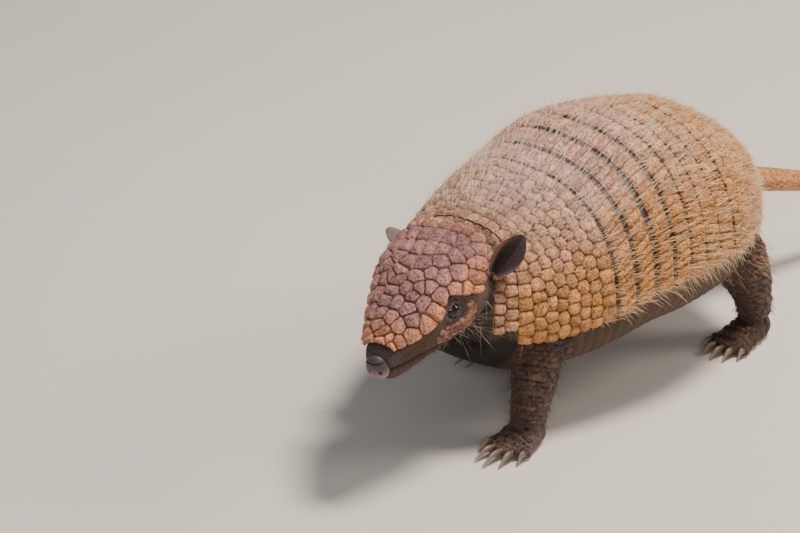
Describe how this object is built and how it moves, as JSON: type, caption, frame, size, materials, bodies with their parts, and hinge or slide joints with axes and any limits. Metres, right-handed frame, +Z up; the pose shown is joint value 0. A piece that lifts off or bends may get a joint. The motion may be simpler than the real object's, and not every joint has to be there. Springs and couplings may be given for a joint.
{
  "type": "six-banded armadillo",
  "caption": "Life-size still model of a walking six-banded armadillo with plated back, head shield, clawed feet and long tail.",
  "frame": {"origin": "on the floor under the middle of the model's outline, tail and claws included", "axes": "+Z up, the nose towards -Y, the tail towards +Y, the animal's left side at +X"},
  "size_m": [0.2059, 0.614, 0.2024],
  "materials": {
    "armour": "horny scutes, satin, worn pale on their edges",
    "skin": "wrinkled dark skin with fine hair",
    "nose": "smooth moist skin",
    "eye": "polished dark eye",
    "claw": "worn horn",
    "coat": "stiff straw-coloured bristles"
  },
  "bodies": {
    "root": {"nuchal_band": "armour", "scapular_shield": "armour", "band_1": "armour", "band_2": "armour", "band_3": "armour", "band_4": "armour", "band_5": "armour", "band_6": "armour", "band_7": "armour", "pelvic_shield": "armour", "eye_left": "eye", "ear_left": "skin", "eye_right": "eye", "ear_right": "skin", "head": "skin", "head_shield": "armour", "nose": "nose", "trunk": "skin", "neck": "skin", "tail": "armour", "foreleg_left": "skin", "foreleg_right": "skin", "hindleg_left": "skin", "hindleg_right": "skin", "forefoot_left": "skin", "claw_fore_left_1": "claw", "claw_fore_left_2": "claw", "claw_fore_left_3": "claw", "claw_fore_left_4": "claw", "claw_fore_left_5": "claw", "forefoot_right": "skin", "claw_fore_right_1": "claw", "claw_fore_right_2": "claw", "claw_fore_right_3": "claw", "claw_fore_right_4": "claw", "claw_fore_right_5": "claw", "hindfoot_left": "skin", "claw_hind_left_1": "claw", "claw_hind_left_2": "claw", "claw_hind_left_3": "claw", "claw_hind_left_4": "claw", "claw_hind_left_5": "claw", "hindfoot_right": "skin", "claw_hind_right_1": "claw", "claw_hind_right_2": "claw", "claw_hind_right_3": "claw", "claw_hind_right_4": "claw", "claw_hind_right_5": "claw"}
  },
  "joints": []
}
